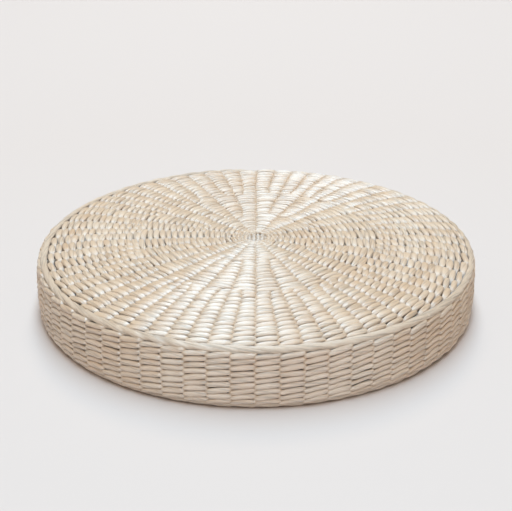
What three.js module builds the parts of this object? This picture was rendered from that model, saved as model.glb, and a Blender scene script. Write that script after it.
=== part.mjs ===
import * as THREE from 'three';

// Round seat pad of twined straw: two weft layers hold radial stakes between them and close
// around a filling. The frame has +Z up and its origin at the centre of the underside.

// Driving dimensions, in millimetres.
const OUTER_RADIUS = 200;
const RIM_HEIGHT = 60;
const DOME_RISE = 6;
const FLAT_RADIUS = 60;
const CORNER_RADIUS = 11;
const RIM_RIDGE = 0.8;
const WEFT = 3;
const STAKE_DIAMETER = 3.4;
const STAKE_DEPTH = 5;
const INNER_WEFT_DEPTH = 7;
const CORE_DEPTH = 11;
const GAP = 0.4;
const SEGMENTS = 64;
const STAKE_SIDES = 5;

// The stakes cross at the centre of the top and end close to the centre of the underside.
const CROSS_PITCH = 3.8;
const FAN_RADIUS = 16;
const CROSS_OPENING = 30;
// Radii at which hairpin stakes join the fan, first in 16 spokes and then in 32.
const INNER_JOIN = 50;
const OUTER_JOIN = 108;
const JOIN_BLEND = 18;
const HAIRPIN_HALF_WIDTH = 3;

const cornerX = OUTER_RADIUS - RIM_RIDGE - CORNER_RADIUS;
const cornerTopZ = RIM_HEIGHT - CORNER_RADIUS;
const cornerBottomZ = CORNER_RADIUS;
const MID_RADIUS = 125;

// Height of the outer surface of the top at a radius: flat in the middle, then sloping gently.
function topHeight(radius) {
  if (radius <= FLAT_RADIUS) return RIM_HEIGHT + DOME_RISE;
  const midHeight = RIM_HEIGHT + DOME_RISE * 0.7;
  if (radius <= MID_RADIUS) {
    const t = (radius - FLAT_RADIUS) / (MID_RADIUS - FLAT_RADIUS);
    return THREE.MathUtils.lerp(RIM_HEIGHT + DOME_RISE, midHeight, t);
  }
  const t = (radius - MID_RADIUS) / (cornerX - MID_RADIUS);
  return THREE.MathUtils.lerp(midHeight, RIM_HEIGHT, Math.min(t, 1));
}

const straw = new THREE.MeshStandardMaterial({ color: 0xe3d8c6, roughness: 0.6, metalness: 0 });
const rimStraw = new THREE.MeshStandardMaterial({ color: 0xeae2d4, roughness: 0.55, metalness: 0 });
const stakeStraw = new THREE.MeshStandardMaterial({ color: 0xc9b492, roughness: 0.7, metalness: 0 });
const filling = new THREE.MeshStandardMaterial({ color: 0xe9e4d8, roughness: 0.9, metalness: 0 });

const pad = new THREE.Group();

function add(name, geometry, material) {
  const mesh = new THREE.Mesh(geometry, material.clone());
  mesh.name = name;
  pad.add(mesh);
}

// A ring or disc turned from a closed profile of [radius, height] pairs, anticlockwise.
// Its facets have their corners over the stakes, so the gaps there are the full ones.
function turned(profile) {
  const points = profile.map(([r, z]) => new THREE.Vector2(r, z));
  const geometry = new THREE.LatheGeometry(points, SEGMENTS);
  geometry.rotateX(Math.PI / 2);
  geometry.rotateZ(Math.PI / SEGMENTS);
  return geometry;
}

// Points of an arc about a corner centre, from one angle to another in degrees.
function arc(x, z, radius, from, to, steps) {
  const points = [];
  for (let i = 0; i <= steps; i += 1) {
    const angle = THREE.MathUtils.degToRad(THREE.MathUtils.lerp(from, to, i / steps));
    points.push([x + radius * Math.cos(angle), z + radius * Math.sin(angle)]);
  }
  return points;
}

// Filling: one firm round layer.
const coreX = OUTER_RADIUS - RIM_RIDGE - INNER_WEFT_DEPTH - WEFT - 2 * GAP;
add('core_filling', turned([
  [0, CORE_DEPTH],
  [cornerX, CORE_DEPTH],
  [coreX, cornerBottomZ + 1],
  [coreX, cornerTopZ - 1],
  [cornerX, topHeight(cornerX) - CORE_DEPTH],
  [MID_RADIUS, topHeight(MID_RADIUS) - CORE_DEPTH],
  [FLAT_RADIUS, topHeight(FLAT_RADIUS) - CORE_DEPTH],
  [0, topHeight(0) - CORE_DEPTH],
]), filling);

// A disc or ring of one weft layer of the top, between two depths under the outer surface.
function topLayer(innerRadius, outerRadius, upperDepth, lowerDepth) {
  const radii = [outerRadius, MID_RADIUS, FLAT_RADIUS, innerRadius];
  const upper = radii.map((r) => [r, topHeight(r) - upperDepth]);
  const lower = radii.map((r) => [r, topHeight(r) - lowerDepth]).reverse();
  const profile = [...lower, ...upper];
  if (innerRadius > 0) profile.push(lower[0]);
  return turned(profile);
}

add('top_weft_outer', topLayer(0, cornerX - GAP, 0, WEFT), straw);
add('top_weft_inner', topLayer(
  CROSS_OPENING, cornerX - GAP, INNER_WEFT_DEPTH, INNER_WEFT_DEPTH + WEFT,
), straw);

// The rim is one thick course around the upper edge, slightly proud of the wall.
const rimOuter = arc(cornerX, cornerTopZ, CORNER_RADIUS + RIM_RIDGE, 2, 88, 3);
const rimInner = arc(cornerX, cornerTopZ, CORNER_RADIUS - WEFT, 88, 2, 3);
add('top_rim_course', turned([...rimOuter, ...rimInner, rimOuter[0]]), rimStraw);

const wallX = cornerX + CORNER_RADIUS;
function wallLayer(outerX, innerX, low, high) {
  return turned([[innerX, low], [outerX, low], [outerX, high], [innerX, high], [innerX, low]]);
}
add('wall_weft_outer', wallLayer(wallX, wallX - WEFT, cornerBottomZ, cornerTopZ), straw);
add('wall_weft_inner', wallLayer(
  wallX - INNER_WEFT_DEPTH, wallX - INNER_WEFT_DEPTH - WEFT, cornerBottomZ + 2, cornerTopZ - 2,
), straw);

const footOuter = arc(cornerX, cornerBottomZ, CORNER_RADIUS, -88, -2, 3);
const footInner = arc(cornerX, cornerBottomZ, CORNER_RADIUS - WEFT, -2, -88, 3);
add('bottom_rim_course', turned([...footOuter, ...footInner, footOuter[0]]), rimStraw);

// The underside is flat, because the pad rests on it.
const faceX = cornerX - GAP;
add('bottom_weft_outer', turned([[0, 0], [faceX, 0], [faceX, WEFT], [0, WEFT]]), straw);
add('bottom_weft_inner', turned([
  [FAN_RADIUS, INNER_WEFT_DEPTH],
  [faceX, INNER_WEFT_DEPTH],
  [faceX, INNER_WEFT_DEPTH + WEFT],
  [FAN_RADIUS, INNER_WEFT_DEPTH + WEFT],
  [FAN_RADIUS, INNER_WEFT_DEPTH],
]), straw);

// A stake's path goes straight from one listed point to the next one in the extrusion.
class StakePath extends THREE.CatmullRomCurve3 {
  getUtoTmapping(u) {
    return u;
  }
}

function stake(points) {
  const section = new THREE.Shape();
  for (let i = 0; i < STAKE_SIDES; i += 1) {
    const angle = (2 * Math.PI * i) / STAKE_SIDES;
    const x = (STAKE_DIAMETER / 2) * Math.cos(angle);
    const y = (STAKE_DIAMETER / 2) * Math.sin(angle);
    if (i === 0) section.moveTo(x, y);
    else section.lineTo(x, y);
  }
  section.closePath();
  const extrudePath = new StakePath(points);
  return new THREE.ExtrudeGeometry(section, { steps: points.length - 1, extrudePath });
}

// Spoke angles in degrees, by stage. A hairpin pair joins in every other gap, and the spokes
// beside it move apart, so 16 spokes become 32 and then 64, evenly spaced each time.
const firstAngle = (n) => (n + 0.5) * 22.5;
const secondAngle = (m) => (m + 0.5) * 11.25;
const thirdAngle = (k) => (k + 0.5) * 5.625;
const nextIndex = (i) => 4 * Math.floor(i / 2) + (i % 2 === 0 ? 0 : 3);

// Angle of a spoke at a radius. Its three angles are equal in the stages it doesn't take part in.
function spokeAngle([first, second, third], radius) {
  const a = THREE.MathUtils.smoothstep(radius, INNER_JOIN - 8, INNER_JOIN + JOIN_BLEND);
  const b = THREE.MathUtils.smoothstep(radius, OUTER_JOIN - 8, OUTER_JOIN + JOIN_BLEND);
  return THREE.MathUtils.degToRad(first + (second - first) * a + (third - second) * b);
}

function polar(radius, angle, z) {
  return new THREE.Vector3(radius * Math.cos(angle), radius * Math.sin(angle), z);
}

const bendRadius = CORNER_RADIUS - STAKE_DEPTH;
const topBend = arc(cornerX, cornerTopZ, bendRadius, 90, 0, 2);
const bottomBend = arc(cornerX, cornerBottomZ, bendRadius, 0, -90, 2);

// One leg, from the given radii of the top over the rim, down the wall and in underneath.
function leg(angles, topRadii, bottomEnd) {
  const over = topRadii.map((r) => polar(r, spokeAngle(angles, r), topHeight(r) - STAKE_DEPTH));
  const rim = [...topBend, ...bottomBend].map(([x, z]) => {
    return polar(x, spokeAngle(angles, x), z);
  });
  const under = topRadii.filter((r) => r > bottomEnd + 13);
  under.push(bottomEnd);
  under.sort((a, b) => b - a);
  return [...over, ...rim, ...under.map((r) => polar(r, spokeAngle(angles, r), STAKE_DEPTH))];
}

// Eight long stakes: four cross over four, and each one makes two spokes.
const longRadii = [FAN_RADIUS, 28, INNER_JOIN, INNER_JOIN + 12, OUTER_JOIN, OUTER_JOIN + 12];
function longAngles(n) {
  const m = nextIndex(n);
  return [firstAngle(n), secondAngle(m), thirdAngle(nextIndex(m))];
}
for (let i = 0; i < 8; i += 1) {
  const upper = i < 4;
  const row = i % 4;
  const turn = upper ? 0 : 4;
  const near = longAngles((row + turn + 14) % 16);
  const far = longAngles((turn + 9 - row) % 16);
  const crossZ = topHeight(0) - STAKE_DEPTH - (upper ? 0 : CROSS_PITCH);
  const offset = (row - 1.5) * CROSS_PITCH;
  const cross = [-9, 9].map((along) => {
    const point = new THREE.Vector3(along, offset, crossZ);
    return point.applyAxisAngle(new THREE.Vector3(0, 0, 1), upper ? 0 : Math.PI / 2);
  });
  const nearLeg = leg(near, longRadii, FAN_RADIUS);
  const farLeg = leg(far, longRadii, FAN_RADIUS);
  if (!upper) {
    nearLeg[0].z = crossZ + CROSS_PITCH * 0.3;
    farLeg[0].z = crossZ + CROSS_PITCH * 0.3;
  }
  const path = [...farLeg.reverse(), ...cross, ...nearLeg];
  add(`long_stake_${i + 1}`, stake(path), stakeStraw);
}

// A hairpin stake: two legs that meet in a loop inside one gap of the fan.
function hairpin(leftAngles, rightAngles, join, radii) {
  const middle = (spokeAngle(leftAngles, join) + spokeAngle(rightAngles, join)) / 2;
  const z = topHeight(join) - STAKE_DEPTH;
  const half = HAIRPIN_HALF_WIDTH;
  const loop = [[-half, half], [-half * 0.7, half * 0.3], [0, 0], [half * 0.7, half * 0.3], [half, half]];
  const bend = loop.map(([side, along]) => {
    const point = new THREE.Vector3(join + along, side, z);
    return point.applyAxisAngle(new THREE.Vector3(0, 0, 1), middle);
  });
  const left = leg(leftAngles, radii, join);
  const right = leg(rightAngles, radii, join);
  return stake([...left.reverse(), ...bend, ...right]);
}

for (let q = 0; q < 8; q += 1) {
  const [left, right] = [4 * q + 1, 4 * q + 2].map((m) => {
    const second = secondAngle(m);
    return [second, second, thirdAngle(nextIndex(m))];
  });
  const radii = [INNER_JOIN + 14, OUTER_JOIN, OUTER_JOIN + 12];
  add(`inner_stake_${q + 1}`, hairpin(left, right, INNER_JOIN, radii), stakeStraw);
}

for (let p = 0; p < 16; p += 1) {
  const [left, right] = [4 * p + 1, 4 * p + 2].map((k) => {
    const third = thirdAngle(k);
    return [third, third, third];
  });
  const radii = [OUTER_JOIN + 14];
  add(`outer_stake_${p + 1}`, hairpin(left, right, OUTER_JOIN, radii), stakeStraw);
}

export default pad;
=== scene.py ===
"""Round seat pad of twined straw: two weft strands twist round radial stakes over the whole surface.

The CAD's plain shells and tubes give the places. Each visible cord here is a real strand that
passes in turn outside and inside the stakes, so the stitches, flutes and gaps are all geometry.
Lengths are in millimetres until a mesh is made.
"""

import math

import bpy
import numpy as np
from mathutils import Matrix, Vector


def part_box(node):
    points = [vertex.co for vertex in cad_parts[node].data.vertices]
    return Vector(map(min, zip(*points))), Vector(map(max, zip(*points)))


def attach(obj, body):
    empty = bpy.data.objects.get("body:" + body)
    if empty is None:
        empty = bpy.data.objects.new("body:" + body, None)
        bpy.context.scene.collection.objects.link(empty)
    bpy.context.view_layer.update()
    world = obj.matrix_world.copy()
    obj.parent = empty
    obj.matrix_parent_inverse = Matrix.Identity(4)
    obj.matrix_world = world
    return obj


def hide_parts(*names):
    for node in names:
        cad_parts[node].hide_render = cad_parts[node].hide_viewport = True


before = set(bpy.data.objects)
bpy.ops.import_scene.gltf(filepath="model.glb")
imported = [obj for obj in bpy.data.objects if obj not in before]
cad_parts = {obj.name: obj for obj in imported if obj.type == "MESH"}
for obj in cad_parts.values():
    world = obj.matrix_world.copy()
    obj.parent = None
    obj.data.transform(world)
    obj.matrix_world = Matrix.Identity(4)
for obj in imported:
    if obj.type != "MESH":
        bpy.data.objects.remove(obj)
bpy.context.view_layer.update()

MM = 0.001

# The pad's section, as in the CAD model.
TOP_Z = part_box("top_weft_outer")[1][2] / MM
RIM_Z = 60.0
CORNER = 11.0         # radius of the upper and lower edge
CORNER_X = 188.2      # how far out the edges' centres lie
WALL_X = CORNER_X + CORNER
BULGE = 0.8           # of the wall at half its height
SLOPE_X = 45.0        # how far out the top begins to slope
SLOPE_POWER = 1.9
ROLL = 2.0            # how far the outermost rows sink to the rim
ROLL_X = 158.0        # how far out they begin to sink
PROFILE_STEP = 0.25
PROFILE_WINDOW = 13   # of the running mean that softens the section

# The stakes, which fan out in stages of 16, 32 and 64.
STAKE_RADIUS = 1.5
WEAVE_DEPTH = 5.4     # of the stakes' middle under the outer surface
STRAY = 1.1           # how far a stake stands to either side of its even place
CROSS_PITCH = 3.8     # of the long stakes where they cross
CROSS_HALF = 10.0     # half the length of the crossing
RAISED = 1.5          # how far the crossing stands up at the open centre
FAN_RADIUS = 17.0     # where the crossing has turned into the fan
UNDER_GAP = 16.0      # from the long stakes' ends to the underside's centre
INNER_JOIN = 50.0     # how far out the first hairpins join the fan
OUTER_JOIN = 108.0
LEG_GAP = 4.5         # from a new hairpin's middle to each of its legs
LOOP_DEPTH = 5.0      # of a hairpin's loop under the outer surface
LOOP_RADIUS = 3.0
LEG_STEP = 2.5        # between a leg's points
PITCH_32 = 360 / 32
PITCH_64 = 360 / 64

# The weft's strands.
START_RADIUS = 9.2    # of the first course
SWING = 3.2           # how far a strand passes outside or inside the stakes' middle
STRAND_THICK = 4.2
LEAN = 0.25           # of a stitch, as a share of the row's width
FACE_GROOVE = 1.2     # how far the strands' crossings stand out, which is the flutes' floor
WALL_GROOVE = 2.6
WANDER = 0.35         # of a course to either side of its row
ROUGH = 0.55          # unevenness of the courses' height
FLOOR_ZONE = 8        # height under which they are less uneven
PITCH_WINDOW = 401    # samples over which the rows' pitch changes
GAP_WINDOW = 17
SIDES = 10            # of a strand's section
# How much one stitch differs from the next.
RISE_JITTER = 0.09
LEAN_JITTER = 0.22
WIDTH_JITTER = 0.07
TONE_JITTER = 0.25
HUSK_LENGTHS = (70, 240)
HUSK_BLEND = 6        # over which one husk's tone turns into the next

# All cords.
TIP = 0.45            # of a cord's last ring, as a share of its full size
LAY_GROOVE = 0.2      # depth of the groove between a cord's plies, as a share of its radius
LOWEST = 0.02         # of any point above the floor


def smooth(x, low, high):
    """0 below low and 1 above high, or the other way round where low is the larger."""
    t = np.clip((x - low) / (high - low), 0.0, 1.0)
    return t * t * (3 - 2 * t)


def unit(v):
    return v / np.linalg.norm(v, axis=-1, keepdims=True)


def blurred(values, window):
    """A running mean, as long as the values are."""
    return np.convolve(np.pad(values, window // 2, "edge"), np.ones(window) / window, "valid")


def distances(points):
    """How far along a line each of its points is."""
    return np.concatenate([[0], np.cumsum(np.linalg.norm(np.diff(points, axis=0), axis=1))])


def section_angles(sides):
    """Angles round a cord's section, from its inner side."""
    return -np.pi / 2 + 2 * np.pi * np.arange(sides) / sides


# ---------------------------------------------------------------- the pad's meridian

def outer_profile():
    """The outer surface from the top's centre over the wall to the underside's centre.

    Gives distances along it, with the radius, the height and the direction at each.
    """
    step = 0.5
    r = np.arange(0.0, CORNER_X, step)
    slope = np.clip((r - SLOPE_X) / (CORNER_X - SLOPE_X), 0, None) ** SLOPE_POWER
    z = TOP_Z - (TOP_Z - RIM_Z) * slope
    z -= ROLL * np.clip((r - ROLL_X) / (CORNER_X - ROLL_X), 0, None) ** 2
    turn = np.radians(np.linspace(90, 0, 36))
    wall_z = np.arange(RIM_Z - CORNER, CORNER, -step)
    bulge = BULGE * (1 - ((wall_z - RIM_Z / 2) / (RIM_Z / 2 - CORNER)) ** 2)
    under = np.arange(CORNER_X, 0, -step)
    r_all = np.concatenate([r, CORNER_X + CORNER * np.cos(turn), WALL_X + bulge,
                            CORNER_X + CORNER * np.cos(turn[::-1]), under, [0.0]])
    corner_z = RIM_Z - CORNER + (CORNER - ROLL) * np.sin(turn)
    z_all = np.concatenate([z, corner_z, wall_z,
                            CORNER - CORNER * np.sin(turn[::-1]), 0 * under, [0.0]])
    s = np.concatenate([[0], np.cumsum(np.hypot(np.diff(r_all), np.diff(z_all)))])
    keep = np.concatenate([[True], np.diff(s) > 1e-6])
    s, r_all, z_all = s[keep], r_all[keep], z_all[keep]
    even = np.arange(0, s[-1], PROFILE_STEP)
    r_even, z_even = np.interp(even, s, r_all), np.interp(even, s, z_all)
    window = np.ones(PROFILE_WINDOW) / PROFILE_WINDOW
    half = PROFILE_WINDOW // 2
    for values in (r_even, z_even):
        longer = np.concatenate([2 * values[0] - values[half:0:-1], values,
                                 2 * values[-1] - values[-2:-half - 2:-1]])
        values[:] = np.convolve(longer, window, "valid")
    direction = unit(np.stack([np.gradient(r_even), np.gradient(z_even)], 1))
    return even, r_even, z_even, direction


S, PROFILE_R, PROFILE_Z, PROFILE_WAY = outer_profile()
S_END = S[-1]


def surface(s, theta, depth):
    """Points under the outer surface, with the unit vectors out of it and down the meridian."""
    r, z = np.interp(s, S, PROFILE_R), np.interp(s, S, PROFILE_Z)
    way_r, way_z = np.interp(s, S, PROFILE_WAY[:, 0]), np.interp(s, S, PROFILE_WAY[:, 1])
    out_r, out_z = -way_z, way_r
    r, z = r - out_r * depth, z - out_z * depth
    cos, sin = np.cos(theta), np.sin(theta)
    point = np.stack([r * cos, r * sin, z], -1)
    out = np.stack([out_r * cos, out_r * sin, out_z], -1)
    down = np.stack([way_r * cos, way_r * sin, way_z], -1)
    return point, out, down


def waves(seed, count, fewest, most):
    """A smooth random field over distance down the meridian and angle, about 1 high.

    Each of its waves goes round the pad from fewest to most times.
    """
    r = np.random.default_rng(seed)
    n = r.integers(fewest, most, count)
    k = r.uniform(-0.06, 0.06, count)
    phase = r.uniform(0, 2 * np.pi, count)
    return lambda s, theta: sum(
        np.cos(n[i] * theta + k[i] * s + phase[i]) for i in range(count)) / math.sqrt(count)


uneven = waves(3, 9, 1, 9)
wander = waves(5, 9, 3, 24)
stray = waves(8, 10, 2, 15)


# ---------------------------------------------------------------- the stakes' angles

def spread(i):
    """Index of a stake in the next stage, where a hairpin's two legs stand in every other gap."""
    return 4 * (i // 2) + 3 * (i % 2)


def joined(r, join):
    """From 0 to 1 as the stakes move apart for the hairpins that join."""
    return smooth(r, join - 8, join + 18)


def even_angle(count, i, r):
    """Angle of stake i at radius r, in the part of the fan that has 8, 16, 32 or 64 stakes."""
    pitch = 360 / count
    own = (i + 0.5) * pitch
    if count == 8:
        return np.radians((i + 0.25) * pitch)
    if count == 16:
        second = (spread(i) + 0.5) * PITCH_32
        third = (spread(spread(i)) + 0.5) * PITCH_64
        angle = own + (second - own) * joined(r, INNER_JOIN)
        return np.radians(angle + (third - second) * joined(r, OUTER_JOIN))
    join = INNER_JOIN if count == 32 else OUTER_JOIN
    group, place = i // 4, i % 4
    before = (2 * group + (place == 3) + 0.5) * 2 * pitch
    beside = before + (own - before) * joined(r, join)
    side = np.where(place == 1, -1, 1)
    close = np.degrees(LEG_GAP / np.maximum(r, 10))
    apart = close + (pitch / 2 - close) * smooth(r, join, join + 14)
    leg = (4 * group + 2) * pitch + side * apart
    angle = np.where((place == 0) | (place == 3), beside, leg)
    if count == 32:
        angle = angle + ((spread(i) + 0.5) * PITCH_64 - own) * joined(r, OUTER_JOIN)
    return np.radians(angle)


def stake_angle(count, i, r):
    """Angle of stake i at radius r, where no two stakes stand quite evenly."""
    angle = even_angle(count, i, r)
    return angle + STRAY * smooth(r, 20, 70) / np.maximum(r, 20) * stray(r, angle)


# ---------------------------------------------------------------- meshes of cords

def tube_rings(centre, across, out, half_width, half_thick, sides, swirl, ridge, lobes, lay, power):
    """Rings of points round a cord, whose section has soft lengthwise ridges.

    The section is round where power is 1 and squarer where it is less.
    """
    psi = section_angles(sides)
    length = distances(centre)
    drift = 1.3 * np.sin(length[:, None] * 0.05)
    lobe = 1 + ridge * np.cos(lobes * psi[None, :] + swirl * length[:, None] + drift)
    if lay:
        groove = np.cos(psi[None, :] + 2 * np.pi * length[:, None] / lay)
        lobe -= LAY_GROOVE * np.abs(groove) ** 10
    ends = np.ones(len(centre))
    ends[[0, -1]] = TIP
    cos, sin = np.cos(psi), np.sin(psi)
    wide = (half_width * ends)[:, None] * np.sign(cos) * np.abs(cos) ** power * lobe
    thick = (half_thick * ends)[:, None] * np.sign(sin) * np.abs(sin) ** power * lobe
    return centre[:, None] + across[:, None] * wide[..., None] + out[:, None] * thick[..., None]


def add_maps(mesh, i, j, length, girth, sides):
    """Adds the UV maps. Strand is in metres along and round the cord, and OFBake fills a square."""
    v = np.stack([j, j, j + 1, j + 1], -1).reshape(-1, 4) / sides
    ring = np.stack([i, i + 1, i + 1, i], -1).reshape(-1, 4)
    tips = 2 * 3 * sides
    real = np.stack([length[ring] * MM, v * girth * MM], -1).reshape(-1, 2)
    strand_map = mesh.uv_layers.new(name="Strand").uv
    strand_map.foreach_set("vector", np.concatenate([real, np.zeros((tips, 2))]).ravel())

    # The square holds the cord in strips side by side, so that a map of it is even.
    edge, gap, tip_place = 0.004, 0.05, 0.002
    strips = max(1, math.ceil(math.sqrt(length[-1] / girth)))
    per_strip = math.ceil((len(length) - 1) / strips)
    strip = (i // per_strip).reshape(-1)[:, None] + 0 * ring
    u = (ring - strip * per_strip) / per_strip
    laid_u = edge + (1 - 2 * edge) * u
    laid_v = (strip + gap + (1 - 2 * gap) * v) / strips
    laid = np.stack([laid_u, laid_v], -1).reshape(-1, 2)
    bake_map = mesh.uv_layers.new(name="OFBake").uv
    bake_map.foreach_set("vector", np.concatenate([laid, np.full((tips, 2), tip_place)]).ravel())


def placed(name, mesh):
    """A new object with the mesh, which rides on the pad's one body."""
    mesh.update()
    obj = bpy.data.objects.new(name, mesh)
    bpy.context.scene.collection.objects.link(obj)
    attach(obj, "root")
    return obj


def tube(name, centre, across, out, half_width, half_thick, tone, height, swirl, ridge,
         sides=SIDES, lobes=3, lay=0.0, power=1.0):
    """A closed cord with its seam on the inner side. Tone goes to its colour, and height to the painted
    shade in its gaps.
    """
    n = len(centre)
    rings = tube_rings(centre, across, out, half_width, half_thick, sides,
                       swirl, ridge, lobes, lay, power)
    verts = np.concatenate([rings.reshape(-1, 3), centre[:1], centre[-1:]])
    verts[:, 2] = np.maximum(verts[:, 2], LOWEST)
    i, j = np.meshgrid(np.arange(n - 1), np.arange(sides), indexing="ij")
    k = (j + 1) % sides
    quads = np.stack([i * sides + j, (i + 1) * sides + j, (i + 1) * sides + k, i * sides + k], -1)
    first = [(n * sides, q, (q + 1) % sides) for q in range(sides)]
    last = [(n * sides + 1, (n - 1) * sides + (q + 1) % sides, (n - 1) * sides + q)
            for q in range(sides)]
    mesh = bpy.data.meshes.new(name)
    mesh.from_pydata((verts * MM).tolist(), [], quads.reshape(-1, 4).tolist() + first + last)
    girth = 2 * np.pi * math.sqrt(float(np.mean(half_width)) * float(np.mean(half_thick)))
    add_maps(mesh, i, j, distances(centre), girth, sides)
    for key, values in (("tone", tone), ("height", height)):
        full = values if values.ndim == 2 else np.repeat(values[:, None], sides, 1)
        points = np.concatenate([full.ravel(), full[0, :1], full[-1, :1]]).astype(np.float32)
        mesh.attributes.new(key, "FLOAT", "POINT").data.foreach_set("value", points)
    mesh.polygons.foreach_set("use_smooth", np.ones(len(mesh.polygons), bool))
    mesh.validate()
    return placed(name, mesh)


def cord_frame(centre, down, out):
    """Unit vectors across a cord that follows the courses, and out of its middle."""
    tangent = unit(np.gradient(centre, axis=0))
    across = unit(down - tangent * np.sum(down * tangent, -1, keepdims=True))
    normal = np.cross(across, tangent)
    normal *= np.sign(np.sum(normal * out, -1, keepdims=True))
    return across, normal


def husk_tones(lengths, seed):
    """One tone for each husk that is twisted into a cord, with a soft change between two."""
    r = np.random.default_rng(seed)
    knots, values, at = [0.0], [r.normal()], 0.0
    while at < lengths[-1]:
        at += r.uniform(*HUSK_LENGTHS)
        tone = r.normal()
        knots += [at, at + HUSK_BLEND]
        values += [values[-1], tone]
    return np.interp(lengths, knots, values)


def tag(obj, material, replaced):
    """Hides the CAD parts that a piece stands for, and gives the piece its material."""
    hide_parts(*replaced)
    obj.data.materials.append(material)


# ---------------------------------------------------------------- materials

def node(tree, kind, inputs, **settings):
    """A new shader node. Its inputs are values or other nodes' outputs."""
    n = tree.nodes.new("ShaderNode" + kind)
    for key, value in settings.items():
        setattr(n, key, value)
    for key, value in inputs.items():
        if isinstance(value, bpy.types.NodeSocket):
            tree.links.new(value, n.inputs[key])
        else:
            n.inputs[key].default_value = value
    return n


def ramp(tree, source, points):
    """A colour ramp's output. Each of its points is a place with a grey value or a colour."""
    n = node(tree, "ValToRGB", {0: source})
    elements = n.color_ramp.elements
    while len(elements) < len(points):
        elements.new(0.5)
    for element, (place, value) in zip(elements, points):
        element.position = place
        element.color = value if isinstance(value, tuple) else (value, value, value, 1)
    return n.outputs[0]


def mix(tree, blend, factor, a, b):
    """Two colours mixed. In a Mix node 6 and 7 are the colour inputs, and 2 is the colour output."""
    n = node(tree, "Mix", {0: factor, 6: a, 7: b}, data_type="RGBA", blend_type=blend)
    return n.outputs[2]


def new_material(name):
    """A material, its tree, and the inputs of its Principled shader."""
    m = bpy.data.materials.new(name)
    m.use_nodes = True
    return m, m.node_tree, m.node_tree.nodes["Principled BSDF"].inputs


def srgb(r, g, b):
    def one(c):
        c /= 255
        return c / 12.92 if c <= 0.04045 else ((c + 0.055) / 1.055) ** 2.4
    return (one(r), one(g), one(b), 1.0)


ROUGHNESS = 0.55
FIBRE_SLANT = 0.17    # radians, from the twist
FINE_STREAKS = (70, 2400, 1)
BROAD_STREAKS = (22, 620, 1)


def straw(name, pale, tan, painted_gap_shade, gloss):
    """Dried husk: streaks along the strand, a tone for each husk, and painted brown shade down in the
    gaps.

    Gloss is the index of refraction, above real straw's. The highlight spreads across the strand.
    """
    m, tree, shader = new_material(name)
    along = node(tree, "UVMap", {}, uv_map="Strand").outputs[0]
    slanted = node(tree, "Mapping", {"Vector": along, "Rotation": (0, 0, FIBRE_SLANT)}).outputs[0]

    def streaks(scale, detail, roughness):
        stretched = node(tree, "Mapping", {"Vector": slanted, "Scale": scale}).outputs[0]
        settings = {"Vector": stretched, "Scale": 1.0, "Detail": detail, "Roughness": roughness}
        return node(tree, "TexNoise", settings).outputs[0]

    fine = streaks(FINE_STREAKS, 3.0, 0.6)
    broad = streaks(BROAD_STREAKS, 2.0, 0.5)
    place = node(tree, "TexCoord", {}).outputs["Object"]
    patchy = {"Vector": place, "Scale": 9.0, "Detail": 3.0, "Roughness": 0.55}
    patch = node(tree, "TexNoise", patchy).outputs[0]
    tone = node(tree, "Attribute", {}, attribute_name="tone").outputs["Fac"]
    height = node(tree, "Attribute", {}, attribute_name="height").outputs["Fac"]

    tone_share = 0.12
    shift = node(tree, "Math", {0: tone, 1: tone_share, 2: patch}, operation="MULTIPLY_ADD")
    husk = ramp(tree, shift.outputs[0], [(0.25, 0.0), (0.85, 1.0)])
    colour = mix(tree, "MIX", husk, pale, tan)
    streak = ramp(tree, fine, [(0.3, 0.78), (0.55, 1.0), (0.8, 1.06)])
    colour = mix(tree, "MULTIPLY", 0.55, colour, streak)
    vein = ramp(tree, broad, [(0.38, 0.62), (0.47, 1.0)])
    colour = mix(tree, "MULTIPLY", 0.6, colour, vein)
    # Painted shade: points that lie low in the weave are mixed toward the dark gap colour.
    shade = ramp(tree, height, [(0.08, 0.0), (0.36, 0.5), (0.62, 1.0)])
    colour = mix(tree, "MIX", shade, painted_gap_shade, colour)

    relief = node(tree, "Math", {0: fine, 1: vein}, operation="ADD").outputs[0]
    bump = node(tree, "Bump", {"Strength": 0.8, "Distance": 0.0009, "Height": relief})
    shine = ramp(tree, broad, [(0.3, ROUGHNESS + 0.14), (0.7, ROUGHNESS - 0.06)])
    strand_way = node(tree, "Tangent", {}, direction_type="UV_MAP", uv_map="Strand")

    tree.links.new(colour, shader["Base Color"])
    tree.links.new(shine, shader["Roughness"])
    tree.links.new(bump.outputs[0], shader["Normal"])
    tree.links.new(strand_way.outputs[0], shader["Tangent"])
    shader["IOR"].default_value = gloss
    shader["Specular IOR Level"].default_value = 1.0
    shader["Specular Tint"].default_value = (0.74, 0.89, 1.0, 1.0)
    shader["Anisotropic"].default_value = 0.93
    shader["Anisotropic Rotation"].default_value = 0.25
    shader["Sheen Weight"].default_value = 0.08
    shader["Sheen Roughness"].default_value = 0.4
    return m


# The third colour of each is the painted shade of the gaps between strands.
weft_look = straw("weft_straw", srgb(241, 214, 185), srgb(228, 191, 153), srgb(108, 84, 70), 2.35)
rim_look = straw("rim_straw", srgb(228, 206, 182), srgb(216, 189, 161), srgb(98, 74, 60), 1.9)
stake_look = straw("stake_straw", srgb(238, 214, 189), srgb(224, 192, 158), srgb(140, 100, 72), 2.35)


# ---------------------------------------------------------------- the weft

# Places along a stitch, from one crossing of the two strands to the next: the outside pass and
# the inside pass. They are closer together where the strand dives.
OUTSIDE = np.array([-0.5, -0.455, -0.4, -0.31, -0.17, 0.0, 0.17, 0.31, 0.4, 0.455])
INSIDE = np.array([-0.5, -0.4, -0.15, 0.15, 0.4])


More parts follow.
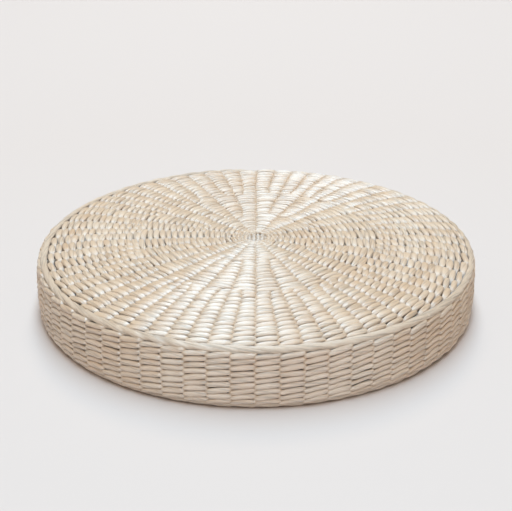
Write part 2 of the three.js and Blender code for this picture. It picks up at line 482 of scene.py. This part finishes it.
def path_of(stages, start_s, flip):
    """Samples of a spiral: fan size, stitch, place in the stitch, place down the meridian, pitch."""
    parts = []
    s = start_s
    for count, turns, end_s in stages:
        begin, pitch = count // 4, (end_s - s) / turns
        for i in range(count * turns):
            x = OUTSIDE if (begin + i + flip) % 2 == 0 else INSIDE
            row = np.zeros((len(x), 5))
            row[:, 0], row[:, 1], row[:, 2], row[:, 4] = count, begin + i, x, pitch
            row[:, 3] = s + pitch * (i + x) / count
            parts.append(row)
        s = end_s
    data = np.concatenate(parts)
    data[:, 4] = blurred(data[:, 4], PITCH_WINDOW)
    return data


def stitch_angles(count, place, r):
    """Angle of each place between its two stakes, and how wide the stakes' gap is there."""
    low = np.floor(place).astype(int)
    part = place - low
    theta, gap = np.zeros(len(place)), np.zeros(len(place))
    for size in np.unique(count).astype(int):
        m = count == size
        a = stake_angle(size, low[m], r[m])
        b = stake_angle(size, low[m] + 1, r[m])
        theta[m] = a + (b - a) * part[m]
        gap[m] = (b - a) * np.maximum(r[m], 3)
    return theta, blurred(blurred(gap, GAP_WINDOW), GAP_WINDOW)


def strand(name, stages, start_s, flip, seed, replaced):
    """One of the two weft strands of a region. They differ in flip, which is 0 or 1."""
    count, stitch, x, s, pitch = path_of(stages, start_s, flip).T
    r_here = np.interp(s, S, PROFILE_R)
    theta, gap = stitch_angles(count, stitch + x, r_here)
    outside = (stitch.astype(int) + flip) % 2 == 0
    number = np.cumsum(np.concatenate([[0], np.diff(stitch) != 0]))
    jitter = np.random.default_rng(seed).normal(size=(4, number[-1] + 1))[:, number]

    # Over is 0 where the two strands cross and 1 halfway between two crossings.
    over = np.cos(np.pi * x)
    swing = np.minimum(SWING, 0.7 + 0.2 * gap)
    s_now = s + WANDER * wander(s, theta) * smooth(r_here, 10, 60)
    centre, out, down = surface(s_now, theta, WEAVE_DEPTH - 0.9 * (SWING - swing))
    steep = smooth(out[:, 2], 0.9, 0.3)
    outer_rise = (1 + RISE_JITTER * jitter[0]) * over ** (0.5 - 0.1 * steep)
    rise = np.where(outside, outer_rise, -over ** 0.6)
    lift = swing * rise + (FACE_GROOVE + (WALL_GROOVE - FACE_GROOVE) * steep) * (1 - over)
    rough = ROUGH * uneven(s, theta) * smooth(r_here, 30, 120)
    lift = lift + np.where(centre[:, 2] > FLOOR_ZONE, rough, 0.25 * np.abs(rough))
    lean = pitch * LEAN * (1 + LEAN_JITTER * jitter[1])
    slide = np.where(outside, -2 * lean * x, 2 * lean * x)
    centre = centre + out * lift[:, None] + down * slide[:, None]
    across, normal = cord_frame(centre, down, out)

    # Stitches are spindles, and the last rows before the rim are a little narrower.
    spindle = 0.56 + (0.44 - 0.07 * steep) * over ** 0.5
    width = 0.5 * pitch * spindle * (1 + WIDTH_JITTER * jitter[2])
    width *= 1 - 0.1 * smooth(s, S_TOP - 16, S_TOP - 8) * (s < S_TOP + 0.1)
    thick = 0.5 * STRAND_THICK * (0.86 + 0.14 * over ** 0.4) * np.minimum(1, 0.45 + gap / 14)
    # Height is how far out each point of the section lies, and it sets the painted shade in the gaps.
    height = (lift[:, None] + thick[:, None] * np.sin(section_angles(SIDES))) / (swing + thick)[:, None]
    tone = husk_tones(distances(centre), seed + 50) + TONE_JITTER * jitter[3]
    obj = tube(name, centre, across, normal, width, thick, tone, height,
               swirl=0.10, ridge=0.07, power=0.78)
    tag(obj, weft_look, replaced)


# Distances down the meridian from the top's centre, where the regions meet.
WALL_ROWS = 9
WALL_PITCH = 5.35
S_TOP = 192.2
S_WALL = S_TOP + 8.4
S_FOOT = S_WALL + WALL_ROWS * WALL_PITCH
S_UNDER = S_FOOT + 7.0

# Each stage has its number of stakes, its turns and the place where it ends.
TOP_STAGES = [(16, 3, 19.5), (16, 6, 50.5), (32, 10, 108.5), (64, 13, S_TOP)]
WALL_STAGES = [(64, WALL_ROWS, S_FOOT)]
UNDER_STAGES = [(64, 13, S_END - 108.5), (32, 10, S_END - 50.5), (16, 7, S_END - 14.8),
                (8, 2, S_END - 2.6)]
REGIONS = [("top", TOP_STAGES, START_RADIUS, ("top_weft_outer", "top_weft_inner")),
           ("wall", WALL_STAGES, S_WALL, ("wall_weft_outer", "wall_weft_inner")),
           ("bottom", UNDER_STAGES, S_UNDER, ("bottom_weft_outer", "bottom_weft_inner"))]
for number, (region, stages, start, nodes) in enumerate(REGIONS):
    for which, letter in enumerate("ab"):
        seed = 11 + 2 * number + which
        strand(f"{region}_weft_{letter}", stages, start, which, seed, (nodes[which],))


# ---------------------------------------------------------------- the two rim courses

RIM_SIDES = 20
RIM_STEPS = 1100
RIM_TUCK = 0.012      # of a turn, half the way over which an end goes under the next rows
RIM_DIVE = 3.5        # how deep those ends go
RIB = 0.22            # how far a rim course rises over each stake
STAKES = 64           # that a rim course passes
LAY_LENGTH = 39.0     # over which a rim course's plies go round once


def rim(name, start, end, width, thick, proud, replaced):
    """A thick smooth course, one turn of the spiral, whose ends lie under the next rows."""
    x = np.linspace(-RIM_TUCK, 1 + RIM_TUCK, RIM_STEPS)
    s = start + (end - start) * x + 0.25 * wander(start, 2 * np.pi * x)
    theta = stake_angle(STAKES, STAKES // 4, 200.0) + 2 * np.pi * x
    centre, out, down = surface(s, theta, 0)
    taper = np.minimum(smooth(x, -RIM_TUCK, RIM_TUCK), 1 - smooth(x, 1 - RIM_TUCK, 1 + RIM_TUCK))
    lift = proud - thick / 2 - RIM_DIVE * (1 - taper) + 0.3 * uneven(start, theta)
    rib = RIB * np.cos(STAKES * (theta - theta[0]))
    centre = centre + out * (lift + rib)[:, None]
    across, normal = cord_frame(centre, down, out)
    # This height paints shade on the rim cord's inner side.
    height = 0.45 + 0.55 * np.sin(section_angles(RIM_SIDES))[None, :] + 0 * x[:, None]
    swell = 1 + 0.04 * wander(0, 3 * theta)
    half_width = width / 2 * swell * (0.5 + 0.5 * taper)
    half_thick = thick / 2 * (0.6 + 0.4 * taper)
    tone = husk_tones(distances(centre), 91)
    obj = tube(name, centre, across, normal, half_width, half_thick, tone, height,
               swirl=0.16, ridge=0.04, sides=RIM_SIDES, lobes=5, lay=LAY_LENGTH)
    tag(obj, rim_look, replaced)


rim("top_rim_cord", S_TOP, S_WALL, 6.7, 5.8, 0.8, ("top_rim_course",))
rim("bottom_rim_cord", S_FOOT, S_UNDER, 6.3, 5.6, 0.1, ("bottom_rim_course",))


# ---------------------------------------------------------------- the stakes

UP = np.array([0.0, 0.0, 1.0])


def meridian_leg(count, i, s_from, s_to, raised=0.0):
    """Points and normals of a stake's leg along the meridian, which may be raised at the centre."""
    s = np.arange(s_from, s_to, LEG_STEP)
    r = np.interp(s, S, PROFILE_R)
    point, out, _ = surface(s, stake_angle(count, i, r), WEAVE_DEPTH)
    on_top = s < 100
    point[:, 2] += raised * (1 - smooth(r, 12, 34)) * on_top
    return point, out


def stake(name, point, out, replaced):
    """A round straw cord through the points."""
    tangent = unit(np.gradient(point, axis=0))
    out = unit(out - tangent * np.sum(out * tangent, -1, keepdims=True))
    across = np.cross(tangent, out)
    radius = STAKE_RADIUS * (1 + 0.04 * np.sin(np.arange(len(point)) * 0.7))
    lengths = distances(point)
    seed = int(name.split("_")[-1]) + 100 * len(name)
    obj = tube(name, point, across, out, radius, radius, husk_tones(lengths, seed),
               0.74 + 0 * lengths, swirl=0.25, ridge=0.08)
    tag(obj, stake_look, replaced)


def turn_z(points, angle):
    c, s = math.cos(angle), math.sin(angle)
    return points @ np.array([[c, s, 0], [-s, c, 0], [0, 0, 1]])


def long_stake(i):
    """One of the eight stakes that cross at the centre."""
    upper, row = i < 4, i % 4
    shift = 0 if upper else 4
    end = S_END - UNDER_GAP
    near, near_out = meridian_leg(16, (row + shift + 14) % 16, FAN_RADIUS, end, RAISED)
    far, far_out = meridian_leg(16, (shift + 9 - row) % 16, FAN_RADIUS, end, RAISED)
    x = np.linspace(-CROSS_HALF, CROSS_HALF, 41)
    offset = (row - 1.5) * CROSS_PITCH
    # In the middle each stake passes over and under the four that cross it.
    weave = np.cos(np.pi * (x / CROSS_PITCH - 0.5 + row + (0 if upper else 1)))
    calm = 1 - smooth(np.abs(x), 2.2 * CROSS_PITCH, 2.7 * CROSS_PITCH)
    level = TOP_Z - WEAVE_DEPTH + RAISED
    cross = np.stack([x, 0 * x + offset, level + STAKE_RADIUS * weave * calm], 1)
    cross = turn_z(cross, 0 if upper else math.pi / 2)
    point = np.concatenate([far[::-1], cross, near])
    out = np.concatenate([far_out[::-1], np.tile(UP, (len(x), 1)), near_out])
    stake(f"long_stake_straw_{i + 1}", point, out, (f"long_stake_{i + 1}",))


def hairpin(name, count, first, join, replaced):
    """A stake whose two legs meet in a loop inside one gap of the fan."""
    leg_start, leg_end = join + 3.5, S_END - join - 1
    left, left_out = meridian_leg(count, first, leg_start, leg_end)
    right, right_out = meridian_leg(count, first + 1, leg_start, leg_end)
    middle = stake_angle(count, first, join) / 2 + stake_angle(count, first + 1, join) / 2
    bend = np.radians(np.linspace(-80, 80, 7))
    loop_r = join + LOOP_RADIUS - LOOP_RADIUS * np.cos(bend)
    loop = np.stack([loop_r, LOOP_RADIUS * np.sin(bend), 0 * bend], 1)
    loop[:, 2] = np.interp(join, S, PROFILE_Z) - LOOP_DEPTH
    loop = turn_z(loop, float(middle))
    point = np.concatenate([left[::-1], loop, right])
    out = np.concatenate([left_out[::-1], np.tile(UP, (len(bend), 1)), right_out])
    stake(name, point, out, (replaced,))


for i in range(8):
    long_stake(i)
for q in range(8):
    hairpin(f"inner_stake_straw_{q + 1}", 32, 4 * q + 1, INNER_JOIN, f"inner_stake_{q + 1}")
for p in range(16):
    hairpin(f"outer_stake_straw_{p + 1}", 64, 4 * p + 1, OUTER_JOIN, f"outer_stake_{p + 1}")


# ---------------------------------------------------------------- the filling

FILLING_DEPTH = 10.9
FILLING_COLUMNS = 128


def filling():
    """A closed crowned form under the weave, with its rows closer together at the two edges.

    It lies a little deeper than those edges' radius, so it folds over itself along them.
    """
    s = np.concatenate([np.arange(2, 188, 6), np.arange(189, 206, 2), np.arange(208, 243, 5),
                        np.arange(244, 262, 2), np.arange(266, S_END - 2, 6)])
    theta = np.linspace(0, 2 * np.pi, FILLING_COLUMNS, endpoint=False)
    ss, tt = np.meshgrid(s, theta, indexing="ij")
    point, out, _ = surface(ss, tt, FILLING_DEPTH)
    point = point + out * (0.25 * wander(ss, tt) - 0.3)[..., None]
    rows, cols = ss.shape
    poles = [[0, 0, point[0, 0, 2]], [0, 0, point[-1, 0, 2]]]
    verts = np.concatenate([point.reshape(-1, 3), poles])
    faces = []
    for a in range(rows - 1):
        for b in range(cols):
            c = (b + 1) % cols
            faces.append((a * cols + b, (a + 1) * cols + b, (a + 1) * cols + c, a * cols + c))
    for b in range(cols):
        c = (b + 1) % cols
        faces.append((rows * cols, b, c))
        faces.append((rows * cols + 1, (rows - 1) * cols + c, (rows - 1) * cols + b))
    mesh = bpy.data.meshes.new("filling")
    mesh.from_pydata((verts * MM).tolist(), [], faces)
    return placed("filling", mesh)


def filling_look():
    """Matt brown plant fibre."""
    m, tree, shader = new_material("filling_fibre")
    place = node(tree, "TexCoord", {}).outputs["Object"]
    fibre = node(tree, "TexNoise", {"Vector": place, "Scale": 160, "Detail": 4}).outputs[0]
    colour = ramp(tree, fibre, [(0.0, srgb(92, 64, 42)), (1.0, srgb(150, 118, 84))])
    bump = node(tree, "Bump", {"Strength": 0.5, "Distance": 0.001, "Height": fibre})
    tree.links.new(colour, shader["Base Color"])
    tree.links.new(bump.outputs[0], shader["Normal"])
    shader["Roughness"].default_value = 0.9
    return m


core = filling()
tag(core, filling_look(), ("core_filling",))


# ---------------------------------------------------------------- floor, light and camera

FLOOR_SIZE = 12       # metres
NEAR_PAPER = (0.658, 0.596, 0.567, 1)
FAR_PAPER = (0.76, 0.80, 0.86, 1)
NEAR, FAR = 0.5, 4.0  # metres from the pad's middle, between which the paper's colour changes
HORIZON = (0.50, 0.49, 0.48, 1)
MIDDLE = (0.32, 0.26, 0.205, 1)
ZENITH = (0.40, 0.325, 0.26, 1)
DOME_STRENGTH = 1.09
COOL = (0.575, 0.812, 1.0)
WARM = (1.0, 0.84, 0.64)
WARM_KEY = (1.0, 0.88, 0.76)


def floor():
    """Pale paper, redder near the pad and bluer far away, so that it looks even in tinted light."""
    bpy.ops.mesh.primitive_plane_add(size=FLOOR_SIZE, location=(0, 0, 0))
    plane = bpy.context.object
    plane.name = "floor"
    m, tree, shader = new_material("floor_paper")
    place = node(tree, "TexCoord", {}).outputs["Object"]
    away = node(tree, "VectorMath", {0: place}, operation="LENGTH").outputs["Value"]
    share = node(tree, "MapRange", {"Value": away, "From Min": NEAR, "From Max": FAR}).outputs[0]
    tree.links.new(ramp(tree, share, [(0.0, NEAR_PAPER), (1.0, FAR_PAPER)]), shader["Base Color"])
    shader["Roughness"].default_value = 0.9
    shader["Specular IOR Level"].default_value = 0.1
    plane.data.materials.append(m)


def lamp(name, kind, energy, colour):
    """A new light, with its object."""
    light = bpy.data.lights.new(name, kind)
    light.energy = energy
    light.color = colour
    obj = bpy.data.objects.new(name, light)
    bpy.context.scene.collection.objects.link(obj)
    return light, obj


def softbox(name, place, size, power, colour):
    """A rectangular light that faces straight down."""
    light, obj = lamp(name, "AREA", power, colour)
    light.shape = "RECTANGLE"
    light.size, light.size_y = size
    obj.location = place


def key_light(name, elevation, strength, width, colour):
    """A far soft light from the front, which lights the floor evenly."""
    light, obj = lamp(name, "SUN", strength, colour)
    light.angle = math.radians(width)
    up = math.radians(elevation)
    toward = Vector((0, -math.cos(up), math.sin(up)))
    obj.rotation_euler = toward.to_track_quat("Z", "Y").to_euler()


def dome():
    """A warm studio ceiling over a pale horizon."""
    world = bpy.data.worlds.new("studio")
    world.use_nodes = True
    tree = world.node_tree
    way = node(tree, "TexCoord", {}).outputs["Generated"]
    rise = node(tree, "SeparateXYZ", {0: way}).outputs["Z"]
    sky = ramp(tree, rise, [(0.14, HORIZON), (0.32, MIDDLE), (1.0, ZENITH)])
    background = tree.nodes["Background"].inputs
    tree.links.new(sky, background[0])
    background[1].default_value = DOME_STRENGTH
    bpy.context.scene.world = world


floor()
key_light("key_above_front", 52, 0.8, 30, WARM_KEY)
softbox("softbox_overhead", (0, -0.45, 2.8), (0.7, 4.3), 100, COOL)
softbox("softbox_rear", (0, 2.25, 2.8), (0.7, 1.1), 24, WARM)
dome()
bpy.context.scene.view_settings.view_transform = "Standard"

# The camera looks down at the pad from close by, as at the pad on top of the stack.
ELEVATION = math.radians(24.1)
EXTRA_TILT = math.radians(0.6)
DISTANCE = 1.2
AIM_Z = 0.06
camera_data = bpy.data.cameras.new("camera")
camera_data.sensor_width = 36
camera_data.lens = 92
camera = bpy.data.objects.new("camera", camera_data)
camera.location = (0, -DISTANCE * math.cos(ELEVATION), AIM_Z + DISTANCE * math.sin(ELEVATION))
camera.rotation_euler = (math.pi / 2 - ELEVATION - EXTRA_TILT, 0, 0)
bpy.context.scene.collection.objects.link(camera)
bpy.context.scene.camera = camera
